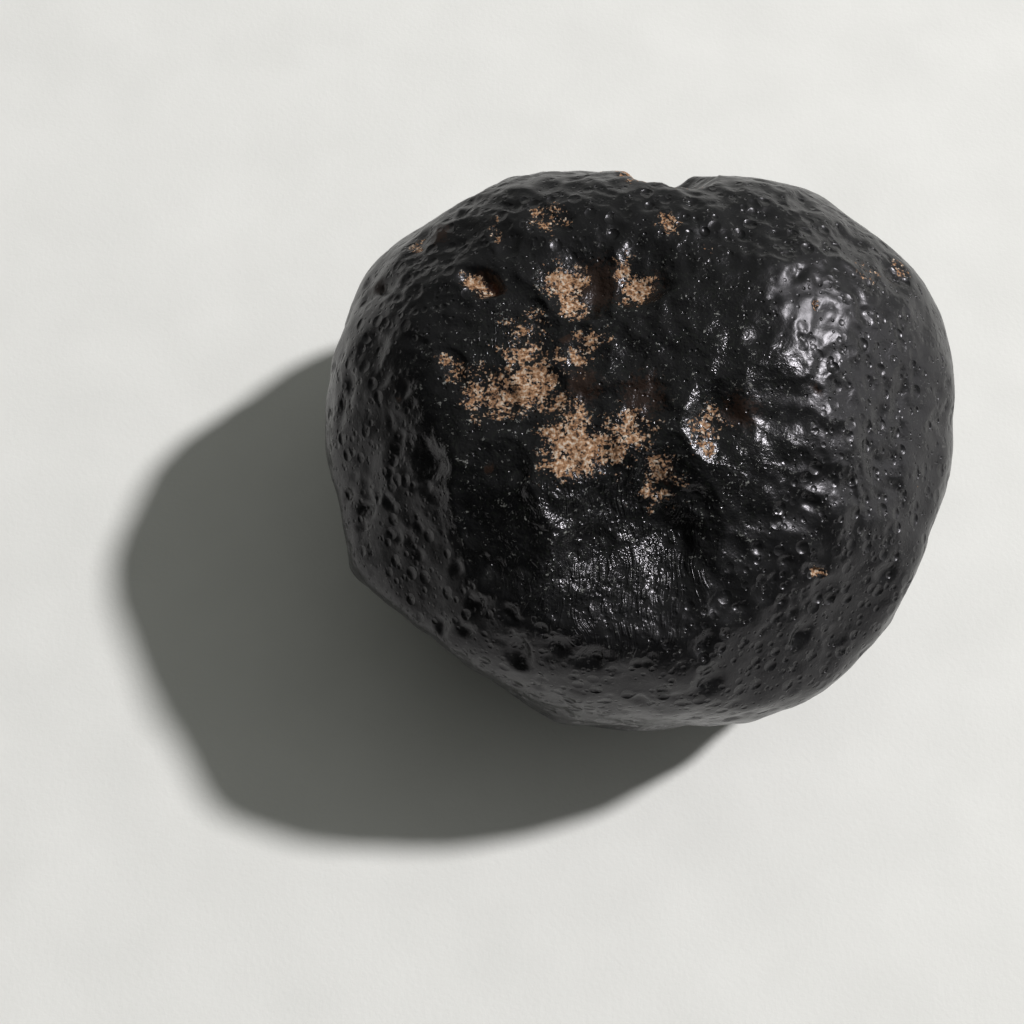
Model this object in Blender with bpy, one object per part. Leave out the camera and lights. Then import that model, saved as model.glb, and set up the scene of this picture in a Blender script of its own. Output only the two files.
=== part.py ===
"""A tektite: a rounded lump of black natural glass, dimpled and pitted all over.

Metres, +Z up. The origin is on the surface the lump rests on, under its middle.
"""
import math
import random

import bmesh
import bpy
import numpy as np
from mathutils import Vector, kdtree, noise

NAME = "tektite"
MM = 0.001

# Driving dimensions, in millimetres
HALF_WIDTH = 24.7
HALF_DEPTH = 23.1
HALF_HEIGHT = 17.6
SQUARENESS = 2.3
FOOT_DEPTH = 0.7
FLAT_BLEND = 1.3
LEAST_FACING = 0.05

# How fine the form is carved, and how many faces are kept of it
SPHERE_LEVEL = 7
TRIANGLES = 9700
SHORTEST_EDGE = 0.02

# A place on the lump is given as on a globe: its bearing in degrees, anticlockwise from +X, and its height in
# degrees above the level of the middle. All other sizes are in millimetres.

# Gentle swellings and sinkings of the whole form: bearing, height, spread in degrees, amount
SWELLS = [
    (-150, -6, 8, 1.2),
    (-163, -4, 8, -1.4),
    (-132, 2, 12, -0.5),
    (-88, -19, 11, 0.5),
    (-34, 5, 7, -0.5),
    (-3, 9, 9, -0.8),
    (27, 22, 8, 1.0),
    (44, 24, 8, -0.4),
    (72, 30, 8, -0.7),
    (115, 19, 9, -1.1),
    (147, 15, 7, 0.5),
    (20, 58, 14, 0.9),
    (176, 69, 26, -0.5),
    (-102, 55, 22, -1.0),
]

# Broad flats that the lump cooled with: bearing, height, distance from the middle
FLATS = [
    (87, 31, 20.6),
    (126, 27, 23.0),
    (-151, 40, 20.8),
    (-128, -15, 22.1),
    (-90, -11, 23.1),
    (-58, 37, 20.3),
    (-43, -4, 23.9),
    (-28, 46, 19.8),
    (-22, 2, 23.4),
    (-18, 68, 18.9),
    (40, 24, 23.8),
    (-150, 81, 15.9),
    (-76, 65, 17.0),
]

# Wide hollows: the great one low on the front, the trough beside it on the left, and the notch at the back.
# Bearing, height, radius, depth.
BASINS = [
    (-98, 45, 6.4, 1.7),
    (-141, 42, 3.0, 1.0),
    (-134, 38, 3.3, 1.3),
    (-126, 35, 3.2, 1.1),
    (84, 36, 3.8, 2.2),
    (85, 22, 4.4, 2.7),
    (88, 8, 4.2, 1.9),
]

# Dimples: bearing, height, radius, depth
DIMPLES = [
    (-86, 43, 2.8, 0.7),
    (-110, 38, 2.1, 0.5),
    (-28, 58, 3.0, 0.35),
    (-54, 66, 2.8, 0.8),
    (134, 64, 3.2, 1.1),
    (99, 71, 2.9, 0.9),
    (155, 47, 1.4, 1.0),
    (-161, 60, 2.1, 0.45),
    (-166, 51, 2.0, 0.35),
    (-125, 60, 2.5, 0.45),
    (-106, 68, 1.8, 0.35),
    (-92, 57, 1.9, 0.3),
    (-77, 51, 1.6, 0.3),
    (-175, 73, 1.6, 0.3),
    (175, 59, 2.0, 0.35),
    (125, 50, 1.7, 0.25),
    (137, 44, 1.2, 0.25),
    (147, 29, 1.9, 0.3),
    (159, 26, 1.3, 0.3),
    (-176, 44, 1.5, 0.3),
    (49, 38, 1.5, 0.3),
    (24, 33, 1.7, 0.25),
    (-121, 45, 1.4, 0.3),
    (-82, 62, 1.9, 0.4),
    (-94, 76, 1.7, 0.35),
    (-135, 69, 1.5, 0.25),
    (-161, 82, 1.5, 0.25),
    (154, 55, 1.4, 0.3),
    (-38, 41, 1.7, 0.3),
    (-48, 40, 1.6, 0.3),
]

# Dimples and bubble pits strewn by chance. The steepness is depth against radius. The cones keep them off the
# faces where they were placed one by one: bearing and height of the cone's middle, and its half angle.
STREWN_DIMPLES = {"count": 80, "smallest": 1.6, "largest": 3.4, "steepness": 0.12, "seed": 11}
DIMPLES_KEEP_OFF = (-90, 66, 64)
STREWN_PITS = {"count": 420, "smallest": 0.5, "largest": 1.2, "steepness": 0.22, "seed": 12}
PITS_KEEP_OFF = (-100, 65, 36)

# How far carving strays from true circles, and how uneven the skin is. Each has the size of one wave against
# the lump's radius, and then how much: against the radius for the straying, in millimetres for the unevenness.
# The seed fixes which way the straying goes at each place.
STRAYING_SEED = 577
STRAYING = [(0.16, 0.034), (0.05, 0.012)]
UNEVENNESS = [(0.30, 0.35), (0.09, 0.14)]


def direction(bearing, height):
    """The unit vector that points at a place on the globe."""
    flat = math.cos(math.radians(height))
    return np.array([
        flat * math.cos(math.radians(bearing)),
        flat * math.sin(math.radians(bearing)),
        math.sin(math.radians(height)),
    ])


def smaller(first, second, blend):
    """The smaller of two lengths, with a rounded change from one to the other."""
    near = np.maximum(blend - np.abs(first - second), 0) / blend
    return np.minimum(first, second) - near * near * blend / 4


def plain_radius(rays):
    """How far the plain rounded body reaches along each ray."""
    halves = np.array([HALF_WIDTH, HALF_DEPTH, HALF_HEIGHT])
    reach = (np.abs(rays / halves) ** SQUARENESS).sum(axis=1) ** (-1 / SQUARENESS)
    for bearing, height, spread, amount in SWELLS:
        apart = np.arccos(np.clip(rays @ direction(bearing, height), -1, 1))
        reach = reach + amount * np.exp(-((apart / math.radians(spread)) ** 2))
    for bearing, height, distance in FLATS:
        facing = np.maximum(rays @ direction(bearing, height), LEAST_FACING)
        reach = smaller(reach, distance / facing, FLAT_BLEND)
    return reach


def bowl_depth(rays, tree, reach, bowls):
    """The depth that a set of overlapping bowls is carved to, at each ray."""
    rim_shape = 1.2
    sharpness = 5
    total = np.zeros(len(rays))
    for place, radius, depth in bowls:
        span = radius / reach[tree.find(place)[1]]
        found = np.array([index for _, index, _ in tree.find_range(place, span)], dtype=int)
        if len(found) == 0:
            continue
        apart = np.linalg.norm(rays[found] - place, axis=1) / span
        profile = np.maximum(1 - apart * apart, 0) ** rim_shape
        total[found] += (depth * profile) ** sharpness
    return total ** (1 / sharpness)


def placed(bowls):
    """Bowls given by bearing and height, with the place as a direction instead."""
    return [(direction(bearing, height), radius, depth) for bearing, height, radius, depth in bowls]


def strewn(kind, keep_off):
    """Bowls strewn over the lump by chance: place, radius, depth."""
    chance = random.Random(kind["seed"])
    bearing, height, half_angle = keep_off
    middle = direction(bearing, height)
    edge = math.cos(math.radians(half_angle))
    bowls = []
    while len(bowls) < kind["count"]:
        place = direction(chance.uniform(0, 360), math.degrees(math.asin(chance.uniform(-1, 1))))
        radius = kind["smallest"] + (kind["largest"] - kind["smallest"]) * chance.random() ** 2
        depth = radius * kind["steepness"] * chance.uniform(0.6, 1.2)
        if place @ middle < edge:
            bowls.append((place, radius, depth))
    return bowls


def wander(rays, size, amount):
    """The rays, each led a little astray, so that what is carved along them is never a true circle."""
    turn = np.array([noise.noise_vector(Vector(ray) / size) for ray in rays])
    return rays + turn * amount


def ripple(rays, size):
    """A soft unevenness between about -1 and 1."""
    return np.array([noise.noise(Vector(ray) / size) for ray in rays])


def shape(rays):
    """The points of the finished surface along the rays, in millimetres from the middle of the body."""
    noise.seed_set(STRAYING_SEED)
    strayed = rays
    for size, amount in STRAYING:
        strayed = wander(strayed, size, amount)
    tree = kdtree.KDTree(len(rays))
    for index, ray in enumerate(strayed):
        tree.insert(ray, index)
    tree.balance()
    plain = plain_radius(rays)
    reach = plain
    layers = [
        placed(BASINS),
        placed(DIMPLES) + strewn(STREWN_DIMPLES, DIMPLES_KEEP_OFF),
        strewn(STREWN_PITS, PITS_KEEP_OFF),
    ]
    for bowls in layers:
        reach = reach - bowl_depth(strayed, tree, plain, bowls)
    for size, amount in UNEVENNESS:
        reach = reach + amount * ripple(rays, size)
    return rays * reach[:, None]


def carved_mesh():
    """The whole form as a fine closed mesh, in millimetres."""
    form = bmesh.new()
    bmesh.ops.create_icosphere(form, subdivisions=SPHERE_LEVEL, radius=1)
    points = shape(np.array([corner.co[:] for corner in form.verts]))
    for corner, point in zip(form.verts, points):
        corner.co = point
    mesh = bpy.data.meshes.new(NAME)
    form.to_mesh(mesh)
    form.free()
    return mesh


def with_fewer_faces(mesh):
    """The same form brought down to the number of faces it is kept with."""
    fine = bpy.data.objects.new("fine form", mesh)
    bpy.context.scene.collection.objects.link(fine)
    fewer = fine.modifiers.new("Fewer faces", "DECIMATE")
    fewer.ratio = TRIANGLES / len(mesh.polygons)
    seen = fine.evaluated_get(bpy.context.evaluated_depsgraph_get())
    reduced = bpy.data.meshes.new_from_object(seen)
    bpy.data.objects.remove(fine, do_unlink=True)
    return reduced


def stand_on_foot(mesh):
    """Cut the lowest point off to a small flat foot, and set the middle of that level at the origin."""
    form = bmesh.new()
    form.from_mesh(mesh)
    lowest = min(corner.co.z for corner in form.verts)
    level = Vector((0, 0, lowest + FOOT_DEPTH))
    everything = form.verts[:] + form.edges[:] + form.faces[:]
    cut = bmesh.ops.bisect_plane(form, geom=everything, plane_co=level, plane_no=(0, 0, -1), clear_outer=True)
    rim = [piece for piece in cut["geom_cut"] if isinstance(piece, bmesh.types.BMEdge)]
    bmesh.ops.holes_fill(form, edges=rim)
    bmesh.ops.remove_doubles(form, verts=form.verts[:], dist=SHORTEST_EDGE)
    bmesh.ops.triangulate(form, faces=form.faces[:])
    bmesh.ops.recalc_face_normals(form, faces=form.faces[:])
    corners = np.array([corner.co[:] for corner in form.verts])
    middle = (corners.max(axis=0) + corners.min(axis=0)) / 2
    shift = Vector((middle[0], middle[1], level.z))
    for corner in form.verts:
        corner.co = (corner.co - shift) * MM
    form.to_mesh(mesh)
    form.free()


def make_lump():
    """The lump as one closed mesh."""
    mesh = with_fewer_faces(carved_mesh())
    stand_on_foot(mesh)
    mesh.name = NAME
    mesh.shade_smooth()
    return bpy.data.objects.new(NAME, mesh)


def glass_finish():
    """Black natural glass with a satin gloss."""
    finish = bpy.data.materials.new("black natural glass")
    finish.use_nodes = True
    shader = finish.node_tree.nodes["Principled BSDF"]
    shader.inputs["Base Color"].default_value = (0.02, 0.02, 0.022, 1)
    shader.inputs["Roughness"].default_value = 0.34
    shader.inputs["Metallic"].default_value = 0
    return finish


def main():
    for thing in list(bpy.data.objects):
        bpy.data.objects.remove(thing, do_unlink=True)
    lump = make_lump()
    lump.data.materials.append(glass_finish())
    group = bpy.data.collections.new("tektite specimen")
    bpy.context.scene.collection.children.link(group)
    group.objects.link(lump)


main()
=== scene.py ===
# %% [markdown]
# # A tektite, a lump of black natural glass
#
# A tektite is a splash of melted ground that cooled while it flew. It is one piece of black glass the size
# of a small plum. Bubbles left round pits in it, and the soil that it lay in for a long time etched wide
# dimples and stayed behind in the deepest of them.
#
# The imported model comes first. It fixes the place and the size of the lump, and the skin made below is
# fitted into its box, so the look can be as rich as we like and the size stays true.

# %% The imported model
import math
import random

import bmesh
import bpy
import numpy as np
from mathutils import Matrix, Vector, kdtree, noise


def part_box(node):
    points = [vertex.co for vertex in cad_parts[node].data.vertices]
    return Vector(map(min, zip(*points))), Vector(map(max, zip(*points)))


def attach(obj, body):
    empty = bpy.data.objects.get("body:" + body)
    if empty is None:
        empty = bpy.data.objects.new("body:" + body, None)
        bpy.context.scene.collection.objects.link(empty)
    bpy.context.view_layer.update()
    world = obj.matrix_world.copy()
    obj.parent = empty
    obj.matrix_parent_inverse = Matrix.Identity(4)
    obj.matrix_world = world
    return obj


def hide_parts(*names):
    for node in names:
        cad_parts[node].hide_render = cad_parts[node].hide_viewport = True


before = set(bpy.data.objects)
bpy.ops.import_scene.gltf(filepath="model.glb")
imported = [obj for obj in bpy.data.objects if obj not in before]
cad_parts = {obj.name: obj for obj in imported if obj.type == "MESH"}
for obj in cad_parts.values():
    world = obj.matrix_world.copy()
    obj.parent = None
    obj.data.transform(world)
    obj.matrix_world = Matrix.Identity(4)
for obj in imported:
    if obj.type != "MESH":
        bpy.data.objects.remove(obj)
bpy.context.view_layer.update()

MM = 0.001

# %% [markdown]
# ## Places as on a globe
#
# A lump has no front or corners to measure from. So each place on it is given as on a globe: a bearing in
# degrees, anticlockwise from +X, and a height in degrees above the level of the middle. A place is then a
# direction, and one function turns the two angles into it.

# %% Directions
def direction(bearing, height):
    """The unit vector that points at a place on the globe."""
    flat = math.cos(math.radians(height))
    return np.array([
        flat * math.cos(math.radians(bearing)),
        flat * math.sin(math.radians(bearing)),
        math.sin(math.radians(height)),
    ])


# %% [markdown]
# ## The camera
#
# The lump is seen from above and a little from the front, so its top fills the view and its near flank
# shows. The lens is given by its focal length in pixels, which is easy to measure from a square picture.
# The sensor width then turns it into millimetres of lens. The plain view transform shows tones as they are,
# where the usual one would flatten the bright sparkle on the glass.

# %% The camera
PICTURE_SIDE = 1024
FOCAL_PIXELS = 1600
SENSOR_WIDTH = 36
CAMERA_HEIGHT_ANGLE = 69
CAMERA_DISTANCE = 143 * MM
CAMERA_AIM = Vector((-10.05, 0.3, 0)) * MM
NEAR_CLIP = 1 * MM

scene = bpy.context.scene
camera = bpy.data.objects.new("camera", bpy.data.cameras.new("camera"))
scene.collection.objects.link(camera)
camera.data.sensor_width = SENSOR_WIDTH
camera.data.lens = FOCAL_PIXELS / PICTURE_SIDE * SENSOR_WIDTH
camera.data.clip_start = NEAR_CLIP
camera.location = CAMERA_AIM + Vector(direction(-90, CAMERA_HEIGHT_ANGLE)) * CAMERA_DISTANCE
camera.rotation_euler = (math.radians(90 - CAMERA_HEIGHT_ANGLE), 0, 0)
scene.camera = camera
scene.view_settings.view_transform = "Standard"
print("lens in mm:", round(camera.data.lens, 2))

# %% [markdown]
# ## Lamps and room
#
# Black glass shows its form by what it mirrors. One small round lamp stands high on the right: it gives the
# crisp sparkle in each dimple and the dark shadow on the left. A wide weak lamp low on the right makes that
# flank a little brighter. The room itself is pale behind the lump on the right and dark in front on the
# left, so the shadow isn't black, but the paper close under the front of the lump is.

# %% Lamps
LAMP_AIM = Vector((0, 0, 15 * MM))


def hang_lamp(name, bearing, height, distance, diameter, watts):
    """A round lamp that shines on the lump from a place on the globe around it."""
    light = bpy.data.lights.new(name, "AREA")
    light.shape = "DISK"
    light.size = diameter
    light.energy = watts
    lamp = bpy.data.objects.new(name, light)
    scene.collection.objects.link(lamp)
    away = Vector(direction(bearing, height))
    lamp.location = LAMP_AIM + away * distance
    lamp.rotation_euler = away.to_track_quat("Z", "Y").to_euler()
    return lamp


hang_lamp("key lamp", 19, 47.5, 1.6, 0.13, 28.5)
hang_lamp("side lamp", 5, 14, 1.2, 0.6, 0.9)

# %% The room
ROOM_BRIGHT_SIDE = direction(52, 42)
ROOM_DARK = (0.030, 0.031, 0.029, 1)
ROOM_MIDDLE = (0.185, 0.193, 0.178, 1)
ROOM_BRIGHT = (0.320, 0.332, 0.310, 1)

room = bpy.data.worlds.new("room")
room.use_nodes = True
scene.world = room
room_nodes = room.node_tree.nodes
room_place = room_nodes.new("ShaderNodeTexCoord")
room_facing = room_nodes.new("ShaderNodeVectorMath")
room_facing.operation = "DOT_PRODUCT"
room_facing.inputs[1].default_value = ROOM_BRIGHT_SIDE
room_tone = room_nodes.new("ShaderNodeValToRGB")
room_tone.color_ramp.elements[0].color = ROOM_DARK
room_tone.color_ramp.elements[1].color = ROOM_BRIGHT
room_tone.color_ramp.elements.new(0.5).color = ROOM_MIDDLE
room.node_tree.links.new(room_place.outputs["Generated"], room_facing.inputs[0])
room.node_tree.links.new(room_facing.outputs["Value"], room_tone.inputs["Fac"])
room.node_tree.links.new(room_tone.outputs["Color"], room_nodes["Background"].inputs["Color"])

# %% [markdown]
# ## Finishes as plain sums
#
# A finish is a tree of small nodes, and a tree made node by node is hard to read. Here a socket is wrapped
# in a small class, so that a sum of two values is written as a sum and adds its own node. Every other node
# comes from one method, which takes the kind of node, its settings and what goes into its sockets.

# %% Wires and finishes
class Wire:
    """The value that comes out of a socket. A sum with it adds the node that works the sum out."""

    def __init__(self, finish, socket):
        self.finish = finish
        self.socket = socket

    def __add__(self, other):
        return self.finish.sum("ADD", self, other)

    def __sub__(self, other):
        return self.finish.sum("SUBTRACT", self, other)

    def __rsub__(self, other):
        return self.finish.sum("SUBTRACT", other, self)

    def __mul__(self, other):
        return self.finish.sum("MULTIPLY", self, other)

    __radd__ = __add__
    __rmul__ = __mul__


class Finish:
    """A material in the making."""

    def __init__(self, name):
        self.material = bpy.data.materials.new(name)
        self.material.use_nodes = True
        self.tree = self.material.node_tree
        self.surface = self.tree.nodes["Principled BSDF"]

    def feed(self, socket, value):
        """Set a socket to a plain value, or link a wire to it."""
        if isinstance(value, Wire):
            self.tree.links.new(value.socket, socket)
        else:
            socket.default_value = value

    def node(self, kind, settings, sockets, output=0):
        """Add a node and give the wire out of it. The stops of a ramp are a list of place and colour."""
        made = self.tree.nodes.new(kind)
        for name, value in settings.items():
            if name == "stops":
                for place, colour in value[2:]:
                    made.color_ramp.elements.new(place)
                for stop, (place, colour) in zip(made.color_ramp.elements, value):
                    stop.position = place
                    stop.color = (*colour, 1)
            else:
                setattr(made, name, value)
        for name, value in sockets.items():
            self.feed(made.inputs[name], value)
        return Wire(self, made.outputs[output])

    def sum(self, operation, first, second):
        return self.node("ShaderNodeMath", {"operation": operation}, {0: first, 1: second})

    def blend(self, amount, first, second):
        """A colour between two, by an amount from 0 to 1."""
        colours = {"Factor": amount, 6: first, 7: second}
        return self.node("ShaderNodeMix", {"data_type": "RGBA"}, colours, 2)

    def step(self, value, low, high, start=0.0, end=1.0):
        """A value that goes softly from start to end while the given one goes from low to high."""
        sockets = {"Value": value, "From Min": low, "From Max": high, "To Min": start, "To Max": end}
        return self.node("ShaderNodeMapRange", {"interpolation_type": "SMOOTHSTEP"}, sockets)

    def clouds(self, place, size, detail=2.0, roughness=0.5):
        """Cloudy noise around one half, with blotches of about the given size in metres."""
        sockets = {"Vector": place, "Scale": 1 / size, "Detail": detail, "Roughness": roughness}
        return self.node("ShaderNodeTexNoise", {}, sockets, "Fac")

    def set(self, **values):
        """Give the surface its values, each named as its socket is with _ for a space."""
        for name, value in values.items():
            self.feed(self.surface.inputs[name.replace("_", " ")], value)


# %% [markdown]
# ## The paper under the lump
#
# The lump lies on a sheet of pale drawing paper. A flat sheet with one flat colour looks like plastic, so
# the paper gets faint blotches and a felt of fibres a fraction of a millimetre wide.

# %% The paper
PAPER_SIDE = 3.0
PAPER_COLOURS = [(0.30, (0.748, 0.738, 0.716)), (0.70, (0.793, 0.782, 0.760))]
PAPER_BLOTCH = 9 * MM
PAPER_FIBRE = 0.45 * MM
PAPER_RELIEF = 0.02 * MM
PAPER_ROUGHNESS = 0.9
PAPER_MIRROR = 0.1

paper = Finish("pale drawing paper")
on_paper = paper.node("ShaderNodeTexCoord", {}, {}, "Object")
blotches = paper.clouds(on_paper, PAPER_BLOTCH, detail=4.0)
fibres = paper.clouds(on_paper, PAPER_FIBRE, detail=3.0, roughness=0.6)
paper.set(
    Base_Color=paper.node("ShaderNodeValToRGB", {"stops": PAPER_COLOURS}, {"Fac": blotches}),
    Roughness=PAPER_ROUGHNESS,
    Specular_IOR_Level=PAPER_MIRROR,
    Normal=paper.node("ShaderNodeBump", {}, {"Height": fibres, "Distance": PAPER_RELIEF, "Strength": 1.0}),
)

edge = PAPER_SIDE / 2
sheet_corners = [(-edge, -edge, 0), (edge, -edge, 0), (edge, edge, 0), (-edge, edge, 0)]
sheet_mesh = bpy.data.meshes.new("paper sheet")
sheet_mesh.from_pydata(sheet_corners, [], [(0, 1, 2, 3)])
sheet_mesh.materials.append(paper.material)
sheet = bpy.data.objects.new("paper_sheet", sheet_mesh)
scene.collection.objects.link(sheet)
print("side of the paper in m:", PAPER_SIDE)

# %% [markdown]
# ## The plain body
#
# Under its pits the lump is a flattened ball, a little squarer than an ellipse. It has a few swellings, and
# broad flats where it cooled against itself. A ball could be pushed about in sculpt mode, but a formula is
# easier to measure: for each direction it says how far the body reaches. Flats are planes, and the shorter
# of two distances wins, with a rounded change between them. All sizes are in millimetres.

# %% The plain body
HALF_WIDTH = 24.7
HALF_DEPTH = 23.1
HALF_HEIGHT = 17.6
SQUARENESS = 2.3
FLAT_BLEND = 1.3
LEAST_FACING = 0.05

# Gentle swellings and sinkings: bearing, height, spread in degrees, amount
SWELLS = [
    (-150, -6, 8, 1.2),
    (-163, -4, 8, -1.4),
    (-132, 2, 12, -0.5),
    (-88, -19, 11, 0.5),
    (-34, 5, 7, -0.5),
    (-3, 9, 9, -0.8),
    (27, 22, 8, 1.0),
    (44, 24, 8, -0.4),
    (72, 30, 8, -0.7),
    (115, 19, 9, -1.1),
    (147, 15, 7, 0.5),
    (20, 58, 14, 0.9),
    (176, 69, 26, -0.5),
    (-102, 55, 22, -1.0),
]

# Broad flats: bearing, height, distance from the middle
FLATS = [
    (87, 31, 20.6),
    (126, 27, 23.0),
    (-151, 40, 20.8),
    (-128, -15, 22.1),
    (-90, -11, 23.1),
    (-58, 37, 20.3),
    (-43, -4, 23.9),
    (-28, 46, 19.8),
    (-22, 2, 23.4),
    (-18, 68, 18.9),
    (40, 24, 23.8),
    (-150, 81, 15.9),
    (-76, 65, 17.0),
]


def smaller(first, second, blend):
    """The smaller of two lengths, with a rounded change from one to the other."""
    near = np.maximum(blend - np.abs(first - second), 0) / blend
    return np.minimum(first, second) - near * near * blend / 4


def plain_radius(rays):
    """How far the plain rounded body reaches along each ray."""
    halves = np.array([HALF_WIDTH, HALF_DEPTH, HALF_HEIGHT])
    reach = (np.abs(rays / halves) ** SQUARENESS).sum(axis=1) ** (-1 / SQUARENESS)
    for bearing, height, spread, amount in SWELLS:
        apart = np.arccos(np.clip(rays @ direction(bearing, height), -1, 1))
        reach = reach + amount * np.exp(-((apart / math.radians(spread)) ** 2))
    for bearing, height, distance in FLATS:
        facing = np.maximum(rays @ direction(bearing, height), LEAST_FACING)
        reach = smaller(reach, distance / facing, FLAT_BLEND)
    return reach


print("swellings and sinkings:", len(SWELLS), "flats:", len(FLATS))

# %% [markdown]
# ## Hollows, dimples and pits
#
# The hollows are carved, not raised, so each is a bowl: a place, a radius and a depth. The ones that a
# person would know the lump by are listed one by one. Where bowls overlap, the deepest wins, as on the real
# thing, and leaves the sharp little ridges between them.

# %% Bowls placed one by one
# Wide hollows: the great one low on the front, the trough beside it, and the notch at the back.
# Bearing, height, radius, depth.
BASINS = [
    (-98, 45, 6.4, 1.7),
    (-141, 42, 3.0, 1.0),
    (-134, 38, 3.3, 1.3),
    (-126, 35, 3.2, 1.1),
    (84, 36, 3.8, 2.2),
    (85, 22, 4.4, 2.7),
    (88, 8, 4.2, 1.9),
]

# Dimples: bearing, height, radius, depth
DIMPLES = [
    (-86, 43, 2.8, 0.7),
    (-110, 38, 2.1, 0.5),
    (-28, 58, 3.0, 0.35),
    (-54, 66, 2.8, 0.8),
    (134, 64, 3.2, 1.1),
    (99, 71, 2.9, 0.9),
    (155, 47, 1.4, 1.0),
    (-161, 60, 2.1, 0.45),
    (-166, 51, 2.0, 0.35),
    (-125, 60, 2.5, 0.45),
    (-106, 68, 1.8, 0.35),
    (-92, 57, 1.9, 0.3),
    (-77, 51, 1.6, 0.3),
    (-175, 73, 1.6, 0.3),
    (175, 59, 2.0, 0.35),
    (125, 50, 1.7, 0.25),
    (137, 44, 1.2, 0.25),
    (147, 29, 1.9, 0.3),
    (159, 26, 1.3, 0.3),
    (-176, 44, 1.5, 0.3),
    (49, 38, 1.5, 0.3),
    (24, 33, 1.7, 0.25),
    (-121, 45, 1.4, 0.3),
    (-82, 62, 1.9, 0.4),
    (-94, 76, 1.7, 0.35),
    (-135, 69, 1.5, 0.25),
    (-161, 82, 1.5, 0.25),
    (154, 55, 1.4, 0.3),
    (-38, 41, 1.7, 0.3),
    (-48, 40, 1.6, 0.3),
]

# Small round bubble pits that show one by one: bearing, height, radius, depth
PITS = [
    (16, 55, 0.4, 0.3),
    (27, 56, 0.3, 0.2),
    (4, 59, 0.35, 0.25),
    (85, 59, 0.75, 0.3),
    (-15, 54, 0.6, 0.3),
    (-52, 27, 0.6, 0.4),
    (-63, 38, 0.5, 0.2),
    (-68, 22, 0.7, 0.3),
    (-60, 16, 1.0, 0.4),
    (-80, 16, 1.5, 0.4),
    (-81, 23, 0.7, 0.25),
    (-77, 31, 0.7, 0.25),
    (-120, 26, 1.0, 0.4),
    (-116, 19, 1.3, 0.45),
    (-109, 24, 1.0, 0.35),
    (-103, 23, 1.4, 0.35),
    (-131, 15, 0.7, 0.3),
    (-126, 18, 0.7, 0.3),
    (-132, 29, 1.0, 0.35),
    (-128, 30, 0.8, 0.3),
    (-136, 25, 0.7, 0.25),
    (-155, 20, 0.6, 0.25),
    (-158, 18, 0.5, 0.2),
    (-159, 13, 0.5, 0.2),
    (-164, 28, 0.6, 0.2),
    (-160, 24, 0.7, 0.25),
    (-155, 35, 1.1, 0.3),
    (2, 21, 0.6, 0.2),
    (-19, 21, 0.4, 0.2),
]


def placed(bowls):
    """Bowls given by bearing and height, with the place as a direction instead."""
    return [(direction(bearing, height), radius, depth) for bearing, height, radius, depth in bowls]


print(len(BASINS) + len(DIMPLES) + len(PITS), "bowls placed by hand")

# %% [markdown]
# The rest are too many to list and have no order, so chance strews them. The chance is seeded, which gives
# the same lump every time. Small dents cover the top, where the soil ate the glass, and bubble pits cover
# the flanks.

# %% Bowls strewn by chance
# The steepness is depth against radius. A cone is the bearing and height of its middle and its half angle.
STREWN_DIMPLES = {"count": 80, "smallest": 1.6, "largest": 3.4, "steepness": 0.12, "seed": 11}
DIMPLES_KEEP_OFF = (-90, 66, 64)
STREWN_PITS = {"count": 420, "smallest": 0.5, "largest": 1.2, "steepness": 0.22, "seed": 12}
PITS_KEEP_OFF = (-100, 65, 36)
STREWN_BUBBLES = {"count": 900, "smallest": 0.28, "largest": 0.8, "steepness": 0.26, "seed": 13}
BUBBLES_KEEP_OFF = (-110, 72, 44)
STREWN_DENTS = {"count": 2600, "smallest": 0.35, "largest": 1.3, "steepness": 0.13, "seed": 14}
DENTS_KEEP_OFF = (-90, -90, 118)


def strewn(kind, keep_off):
    """Bowls strewn over the lump by chance, outside a cone: place, radius, depth."""
    chance = random.Random(kind["seed"])
    bearing, height, half_angle = keep_off
    middle = direction(bearing, height)
    edge = math.cos(math.radians(half_angle))
    bowls = []
    while len(bowls) < kind["count"]:
        place = direction(chance.uniform(0, 360), math.degrees(math.asin(chance.uniform(-1, 1))))
        radius = kind["smallest"] + (kind["largest"] - kind["smallest"]) * chance.random() ** 2
        depth = radius * kind["steepness"] * chance.uniform(0.6, 1.2)
        if place @ middle < edge:
            bowls.append((place, radius, depth))
    return bowls


strewn_kinds = [STREWN_DIMPLES, STREWN_PITS, STREWN_BUBBLES, STREWN_DENTS]
print(sum(kind["count"] for kind in strewn_kinds), "bowls strewn by chance")

# %% [markdown]
# ## Carving
#
# Chance also bends the bowls. Every direction is led a little astray by smooth noise before it is compared
# with a bowl's place, so no rim is a true circle. A search tree finds the points that each bowl covers,
# which keeps thousands of bowls quick.

# %% Carving
# The size of one wave against the lump's radius, and then how much: against the radius for the straying, in
# millimetres for the unevenness. The seed fixes which way the straying goes at each place.
STRAYING_SEED = 577
STRAYING = [(0.16, 0.034), (0.05, 0.012)]
UNEVENNESS = [(0.30, 0.35), (0.09, 0.14)]
FINE_UNEVENNESS = [(0.035, 0.020)]


def wander(rays, size, amount):
    """The rays, each led a little astray, so that what is carved along them is never a true circle."""
    turn = np.array([noise.noise_vector(Vector(ray) / size) for ray in rays])
    return rays + turn * amount


def ripple(rays, size):
    """A soft unevenness between about -1 and 1."""
    return np.array([noise.noise(Vector(ray) / size) for ray in rays])


# %% One layer of bowls
# How steep a bowl is at its rim, and how sharp a ridge two bowls leave between them
RIM_SHAPE = 1.2
RIDGE_SHARPNESS = 5


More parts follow.
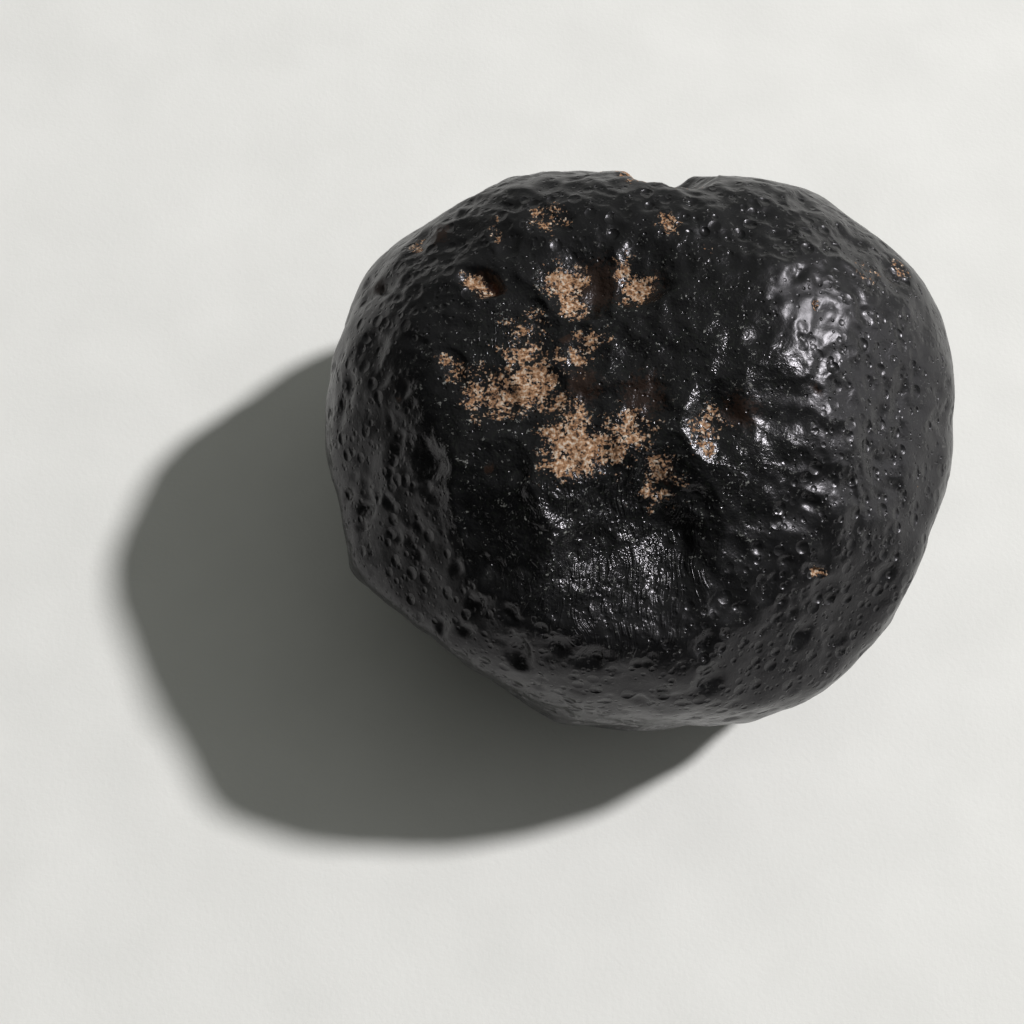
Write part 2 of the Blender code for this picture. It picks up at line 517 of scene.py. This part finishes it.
def bowl_depth(rays, tree, reach, bowls):
    """The depth that a set of overlapping bowls is carved to, at each ray."""
    total = np.zeros(len(rays))
    for place, radius, depth in bowls:
        span = radius / reach[tree.find(place)[1]]
        found = np.array([index for _, index, _ in tree.find_range(place, span)], dtype=int)
        if len(found) == 0:
            continue
        apart = np.linalg.norm(rays[found] - place, axis=1) / span
        profile = np.maximum(1 - apart * apart, 0) ** RIM_SHAPE
        total[found] += (depth * profile) ** RIDGE_SHARPNESS
    return total ** (1 / RIDGE_SHARPNESS)


# %% Straying and shape
def stray(rays):
    """The rays as the carving meets them."""
    noise.seed_set(STRAYING_SEED)
    for size, amount in STRAYING:
        rays = wander(rays, size, amount)
    return rays


def shape(rays, strayed):
    """The points of the finished surface along the rays, in millimetres from the middle of the body."""
    tree = kdtree.KDTree(len(rays))
    for index, ray in enumerate(strayed):
        tree.insert(ray, index)
    tree.balance()
    plain = plain_radius(rays)
    reach = plain
    layers = [
        placed(BASINS),
        placed(DIMPLES) + strewn(STREWN_DIMPLES, DIMPLES_KEEP_OFF),
        strewn(STREWN_PITS, PITS_KEEP_OFF),
        placed(PITS) + strewn(STREWN_BUBBLES, BUBBLES_KEEP_OFF),
        strewn(STREWN_DENTS, DENTS_KEEP_OFF),
    ]
    for bowls in layers:
        reach = reach - bowl_depth(strayed, tree, plain, bowls)
    for size, amount in UNEVENNESS + FINE_UNEVENNESS:
        reach = reach + amount * ripple(rays, size)
    return rays * reach[:, None]


# %% [markdown]
# ## The skin
#
# The points of the skin sit on a globe made of twenty triangles, each cut into a fine net. That keeps them
# evenly spread, where a globe of meridians would crowd them at the poles. Drawing the net towards the top
# puts more of them where the dimples are and fewer on the plain underside.

# %% The net of points
NET_CUTS = 98
DRAWN_TO = direction(-90, 72)
DRAWN_BY = 0.30

net = bmesh.new()
bmesh.ops.create_icosphere(net, subdivisions=1, radius=1)
bmesh.ops.subdivide_edges(net, edges=net.edges[:], cuts=NET_CUTS, use_grid_fill=True)
rays = np.array([corner.co[:] for corner in net.verts])
rays /= np.linalg.norm(rays, axis=1)[:, None]
rays += DRAWN_TO * DRAWN_BY
rays /= np.linalg.norm(rays, axis=1)[:, None]
print("points:", len(rays), "faces:", len(net.faces))

# %% [markdown]
# The skin stands on a small flat foot. A last gentle stretch, well under one part in a hundred, brings its
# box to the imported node's box.

# %% The skin as a mesh
FOOT_DEPTH = 0.7

strayed = stray(rays)
points = shape(rays, strayed)
floor_level = points[:, 2].min() + FOOT_DEPTH
points[:, 2] = np.maximum(points[:, 2], floor_level)
low, high = (np.array(corner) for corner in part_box("tektite"))
own_low, own_high = points.min(axis=0), points.max(axis=0)
stretch = (high - low) / (own_high - own_low)
points = low + (points - own_low) * stretch
for corner, point in zip(net.verts, points):
    corner.co = point
bmesh.ops.recalc_face_normals(net, faces=net.faces[:])
skin_mesh = bpy.data.meshes.new("tektite skin")
net.to_mesh(skin_mesh)
net.free()
skin_mesh.shade_smooth()
skin = bpy.data.objects.new("tektite_skin", skin_mesh)
scene.collection.objects.link(skin)
print("stretch:", (stretch / MM).round(4))

# %% [markdown]
# ## Where the soil stayed
#
# Tan soil clings to the floors of the dimples. A dark brown film is painted shade: it lies mostly on the
# walls of the dimples that face away from the lamp, and it keeps the brown of the soil there. Painting by
# hand would be one way, but the places are known already, so each patch is a soft round spot on the same
# globe, read by the finish as a value per point. The spots use the strayed directions, so they keep to the
# crooked dimples.

# %% Places of soil and of the brown film of painted shade
# Tan soil: bearing, height, radius in millimetres, strength
SOIL = [
    (148, 28, 0.9, 0.8),
    (139, 44, 0.8, 0.9),
    (136, 42, 0.6, 0.6),
    (124, 49, 1.7, 0.62),
    (156, 46, 1.0, 0.9),
    (131, 61, 1.0, 0.75),
    (140, 61, 1.7, 0.85),
    (150, 65, 1.2, 0.95),
    (110, 66, 1.0, 0.75),
    (104, 72, 1.5, 0.85),
    (166, 57, 1.4, 0.6),
    (176, 58, 1.9, 0.8),
    (169, 73, 1.3, 0.75),
    (-172, 70, 1.1, 0.8),
    (-180, 42, 0.7, 0.75),
    (-177, 44, 0.9, 0.8),
    (-175, 49, 0.7, 0.7),
    (-167, 50, 1.9, 0.9),
    (-165, 58, 2.2, 0.95),
    (-151, 62, 1.1, 0.75),
    (-177, 62, 1.0, 0.7),
    (-175, 66, 0.9, 0.7),
    (-142, 66, 0.6, 0.7),
    (-131, 58, 2.3, 0.95),
    (-119, 62, 2.0, 0.85),
    (-109, 69, 1.6, 0.75),
    (-105, 66, 1.3, 0.75),
    (-89, 58, 1.3, 0.8),
    (-91, 53, 1.5, 0.7),
    (-57, 67, 1.3, 0.85),
    (-64, 64, 1.2, 0.6),
    (85, 59, 1.0, 1.0),
    (62, 64, 0.6, 0.6),
    (16, 55, 0.5, 0.9),
    (-52, 27, 0.6, 1.0),
    (-20, 21, 0.35, 1.0),
    (25, 30, 1.3, 0.62),
    (24, 40, 1.0, 0.5),
    (86, 38, 3.0, 1.6),
    (92, 30, 3.0, 1.6),
]
# Brown film, painted shade on the walls of dimples that face away from the lamp: bearing, height, radius in
# millimetres, strength
BROWN_SHADE_SPOTS = [
    (158, 24, 1.2, 0.7),
    (144, 32, 1.5, 0.7),
    (154, 48, 1.2, 1.0),
    (129, 66, 2.3, 0.7),
    (92, 73, 1.6, 0.5),
    (172, 67, 0.5, 0.9),
    (-153, 70, 1.5, 0.7),
    (-107, 77, 1.9, 0.65),
    (-39, 64, 1.5, 0.6),
    (-87, 58, 1.0, 0.6),
    (-15, 54, 0.6, 0.9),
    (-144, 43, 0.5, 0.7),
    (-174, 32, 0.3, 1.0),
]

# %% [markdown]
# Two more marks belong to the glass itself. In the great hollow it shows the lines in which it once flowed,
# and at two places the etched skin has worn smooth again. They are spots of the same kind.

# %% Places of flow lines and wear
# Flow lines in the glass: bearing, height, radius in millimetres, strength
FLOWS = [
    (-103, 42, 5.6, 1.0),
    (-118, 49, 2.0, 0.8),
    (175, 54, 1.8, 0.7),
]
# Worn smooth patches: bearing, height, radius in millimetres, strength
WORN = [
    (-24, 56, 2.0, 0.9),
    (-34, 60, 2.2, 0.9),
    (17, 58, 4.2, 1.0),
    (12, 65, 2.6, 0.7),
]
# The etched top: bearing and height of its middle, and the angles at which it starts to fade and has gone
ETCHED_TOP = (-125, 72, 36, 47)

# %% [markdown]
# Each list becomes one value per point of the skin. Where two spots of a list meet, the stronger one
# counts. The values are stored on the mesh under plain names, and the finish reads them by those names.

# %% From places to values
# A spot fades to nothing at this many times its radius
SPOT_REACH = 1.3


def spots(places):
    """For each point of the skin, how strongly the nearest soft spot covers it."""
    amount = np.zeros(len(rays))
    for bearing, height, radius, strength in places:
        middle = direction(bearing, height)
        nearest = np.argmax(rays @ middle)
        span = SPOT_REACH * radius * MM / np.linalg.norm(points[nearest] - points.mean(axis=0))
        apart = np.linalg.norm(strayed - middle, axis=1) / span
        amount = np.maximum(amount, strength * np.maximum(1 - apart * apart, 0) ** 2)
    return amount


def store(name, values):
    """Keep one value per point on the skin, under a name that the finish reads."""
    layer = skin_mesh.attributes.new(name, "FLOAT", "POINT")
    layer.data.foreach_set("value", values.astype(np.float32))


bearing, height, fade_start, fade_end = ETCHED_TOP
apart = np.degrees(np.arccos(np.clip(strayed @ direction(bearing, height), -1, 1)))
etched = np.clip((fade_end - apart) / (fade_end - fade_start), 0, 1)
store("soil", spots(SOIL))
# The brown film spots are painted shade on the shaded walls of the dimples.
store("stain", spots(BROWN_SHADE_SPOTS))
store("flow", spots(FLOWS))
store("worn", np.minimum(spots(WORN), 1))
store("etched", etched)
print("share of the skin that is etched:", round(float(etched.mean()), 2))

# %% [markdown]
# ## The glass and what clings to it
#
# The glass itself is nearly black and satin, and it looks alive only through its relief. Four reliefs lie
# over each other: a fine grain that makes the top sparkle, soft waves, tiny round pits that each catch the
# lamp once, and thin flow lines in the great hollow. They could be carved too, but they are finer than the
# mesh, so they are bump. Depths are in millimetres.

# %% Grain and waves
GRAIN_SIZE = 0.18 * MM
GRAIN_DEPTH_FLANK = 0.014
GRAIN_DEPTH_TOP = 0.044
WORN_GRAIN_LOSS = 0.55
ROLL_SIZE = 0.9 * MM
ROLL_DEPTH_FLANK = 0.05
ROLL_DEPTH_TOP = 0.12
PATCH_SIZE = 0.9 * MM

glass = Finish("black natural glass with soil")
place = glass.node("ShaderNodeTexCoord", {}, {}, "Object")


def mask(name):
    """A value stored on the skin's points."""
    return glass.node("ShaderNodeAttribute", {"attribute_name": name}, {}, "Fac")


top = mask("etched")
grain = glass.clouds(place, GRAIN_SIZE, detail=2.0, roughness=0.55)
roll = glass.clouds(place, ROLL_SIZE, detail=2.0)
patches = glass.clouds(place, PATCH_SIZE, detail=2.0)


waves = roll * (ROLL_DEPTH_FLANK + (ROLL_DEPTH_TOP - ROLL_DEPTH_FLANK) * top)
sparkle = grain * (GRAIN_DEPTH_FLANK + (GRAIN_DEPTH_TOP - GRAIN_DEPTH_FLANK) * top)

# %% [markdown]
# The smallest pits are too many for the mesh. A cell pattern gives each cell a middle and a chance colour:
# a bowl is sunk at the middle of some cells, as deep as the colour says.

# %% Bubble pits in the relief
# Each kind: cell size, radius against the cell, depth in millimetres, share of the cells with a pit
WIDE_PITS = (1.3 * MM, 0.40, 0.16, 0.6)
NARROW_PITS = (0.7 * MM, 0.38, 0.07, 0.5)
TINY_PITS = (0.42 * MM, 0.36, 0.06, 0.28)
LEAST_PIT_DEPTH = 0.3


def bubble_pits(size, width, depth, share):
    """Relief of crisp round pits, one in some of the cells."""
    cells = {"Vector": place, "Scale": 1 / size}
    apart = glass.node("ShaderNodeTexVoronoi", {}, cells, "Distance")
    tone = glass.node("ShaderNodeTexVoronoi", {}, cells, "Color")
    chance = glass.node("ShaderNodeSeparateColor", {}, {"Color": tone}, "Red")
    deep = glass.node("ShaderNodeSeparateColor", {}, {"Color": tone}, "Green")
    here = glass.step(chance, 0.98 - share, 1.02 - share)
    bowl = glass.sum("MINIMUM", apart * apart * (1 / width ** 2) - 1, 0.0)
    return bowl * here * (deep + LEAST_PIT_DEPTH) * depth


flank_pits = bubble_pits(*WIDE_PITS) + bubble_pits(*NARROW_PITS)
small_pits = bubble_pits(*TINY_PITS)

# %% [markdown]
# Flow lines are noise that is drawn out along the run of the glass. They swerve a little as they run down
# the front, and come in patches.

# %% Flow lines, and the whole relief
FLOW_WIDTH = 0.26 * MM
FLOW_STRETCH = 0.07
FLOW_SWERVE = 3.6 * MM
FLOW_SWERVE_SIZE = 5 * MM
FLOW_DEPTH = 0.07
FLOW_LINE_EDGES = (0.42, 0.58)
FLOW_PATCH_EDGES = (0.38, 0.56)

swerve = glass.clouds(place, FLOW_SWERVE_SIZE) - 0.5
across = glass.node("ShaderNodeSeparateXYZ", {}, {"Vector": place}, "X") + swerve * FLOW_SWERVE
down = glass.node("ShaderNodeSeparateXYZ", {}, {"Vector": place}, "Y") * FLOW_STRETCH
along = glass.node("ShaderNodeCombineXYZ", {}, {"X": across, "Y": down}, "Vector")
lines = glass.step(glass.clouds(along, FLOW_WIDTH, detail=2.0), *FLOW_LINE_EDGES)
lines = lines * glass.step(patches, *FLOW_PATCH_EDGES)

relief = (
    sparkle * (1 - mask("worn") * WORN_GRAIN_LOSS)
    + (waves + flank_pits * (1 - top)) * (1 - mask("worn"))
    + small_pits
    + lines * mask("flow") * FLOW_DEPTH
)

# %% [markdown]
# The soil is a thin crumbly film. Cloudy noise eats holes in each soft spot, so that the spot breaks up
# into crumbs towards its edge, and a second noise mixes cream, tan and brown. The crumbs are dull and stand
# a little proud in the bump.

# %% The soil
CRUMB_SIZE = 0.22 * MM
CRUMB_BREAK = 2.2
PATCH_BREAK = 1.8
SOIL_COLOURS = [
    (0.37, (0.034, 0.019, 0.011)),
    (0.46, (0.240, 0.120, 0.058)),
    (0.54, (0.380, 0.230, 0.135)),
    (0.63, (0.520, 0.440, 0.365)),
]
SOIL_TONE_SIZE = 0.30 * MM
CRUMB_HEIGHT = 0.06
# Two edges: the value at which a layer starts to show, and the one at which it covers all
SOIL_EDGES = (0.56, 0.74)
SOIL_LIMIT = (0.02, 0.15)

crumbs = glass.clouds(place, CRUMB_SIZE, detail=3.0, roughness=0.6)
soiled = mask("soil")
broken = soiled + (crumbs - 0.5) * CRUMB_BREAK + (patches - 0.5) * PATCH_BREAK
soil = glass.step(broken, *SOIL_EDGES) * glass.step(soiled, *SOIL_LIMIT)
soil_tone = glass.clouds(place, SOIL_TONE_SIZE, detail=4.0, roughness=0.65)
soil_colour = glass.node("ShaderNodeValToRGB", {"stops": SOIL_COLOURS}, {"Fac": soil_tone})

# %% [markdown]
# Under the soil, a brown film paints shade on the walls of the pits that face away from the lamp, in the
# brown of the soil there, and it is rust red where it is thickest. The etched top is greyed by fine dust,
# and pale flecks sit in it.

# %% The brown film of painted shade, the dust and the flecks
GLASS_COLOUR = (0.0042, 0.0042, 0.0046, 1)
DUST_COLOUR = (0.0075, 0.0085, 0.0070, 1)
DUST_SIZE = 0.28 * MM
DUST_EDGES = (0.52, 0.68)
FLECK_COLOUR = (0.21, 0.21, 0.20, 1)
FLECK_SIZE = 0.30 * MM
FLECK_EDGES = (0.63, 0.68)
FLECK_GATHERING = 0.3
FLECKS_ON_FLANK = 0.3
# Painted shade: these browns darken the walls of the dimples that face away from the lamp, with the reddest
# where the film is thickest.
BROWN_SHADE_COLOUR = (0.016, 0.008, 0.005, 1)
RED_BROWN_SHADE_COLOUR = (0.075, 0.021, 0.009, 1)
BROWN_SHADE_EDGES = (0.30, 0.60)
BROWN_SHADE_BREAK = 1.5
RED_BROWN_SHADE_EDGES = (0.80, 0.98)

# Painted shade: where the brown film lies on the shaded walls of the dimples.
brown_shade_mask = mask("stain")
brown_shade_film = glass.step(brown_shade_mask + (soil_tone - 0.5) * BROWN_SHADE_BREAK, *BROWN_SHADE_EDGES)
brown_shade_colour = glass.blend(glass.step(brown_shade_mask, *RED_BROWN_SHADE_EDGES), BROWN_SHADE_COLOUR, RED_BROWN_SHADE_COLOUR)
dust = glass.step(glass.clouds(place, DUST_SIZE, detail=3.0), *DUST_EDGES) * top
fleck_noise = glass.clouds(place, FLECK_SIZE, detail=4.0, roughness=0.75)
flecks = glass.step(fleck_noise + (patches - 0.5) * FLECK_GATHERING, *FLECK_EDGES)
flecks = flecks * (FLECKS_ON_FLANK + (1 - FLECKS_ON_FLANK) * top)

# %% [markdown]
# Last, the layers are laid over each other: glass, then dust and flecks, then the brown film of painted
# shade, then the soil. Only colour, roughness and the normal change over the surface. The strength of the
# mirror is the same everywhere, so it is set on the surface's own socket.

# %% The finish on the skin
GLASS_ROUGHNESS = 0.20
WORN_ROUGHNESS = 0.28
FLOW_ROUGHNESS = 0.19
FLANK_ROUGHNESS = 0.31
ROUGHNESS_SPREAD = 0.16
BROWN_SHADE_ROUGHNESS = 0.30
SOIL_ROUGHNESS = 0.92
MIRROR_STRENGTH = 0.39
MIRROR_TINT = (1.0, 0.96, 1.02, 1)
SOIL_FILLING = 0.6

bare = glass.blend(flecks, glass.blend(dust, GLASS_COLOUR, DUST_COLOUR), FLECK_COLOUR)
# The brown film lays painted shade over the glass.
brown_shaded = glass.blend(brown_shade_film, bare, brown_shade_colour)
coloured = glass.blend(soil, brown_shaded, soil_colour)
dullness = GLASS_ROUGHNESS + (glass.clouds(place, ROLL_SIZE, detail=3.0) - 0.5) * ROUGHNESS_SPREAD
dullness = dullness + mask("worn") * (WORN_ROUGHNESS - GLASS_ROUGHNESS)
dullness = dullness + mask("flow") * (FLOW_ROUGHNESS - GLASS_ROUGHNESS)
dullness = dullness + (1 - top) * (FLANK_ROUGHNESS - GLASS_ROUGHNESS)
dullness = dullness + brown_shade_film * (BROWN_SHADE_ROUGHNESS - GLASS_ROUGHNESS)
dullness = dullness + soil * (SOIL_ROUGHNESS - GLASS_ROUGHNESS)
height = relief * (1 - SOIL_FILLING * soil) + soil * crumbs * CRUMB_HEIGHT
glass.set(
    Base_Color=coloured,
    Roughness=dullness,
    Specular_IOR_Level=MIRROR_STRENGTH,
    Specular_Tint=MIRROR_TINT,
    Normal=glass.node("ShaderNodeBump", {}, {"Height": height, "Distance": MM, "Strength": 1.0}),
)
skin_mesh.materials.append(glass.material)
print("nodes in the finish:", len(glass.tree.nodes))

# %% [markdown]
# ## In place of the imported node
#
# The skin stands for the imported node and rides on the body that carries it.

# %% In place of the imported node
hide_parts("tektite")
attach(skin, "root")
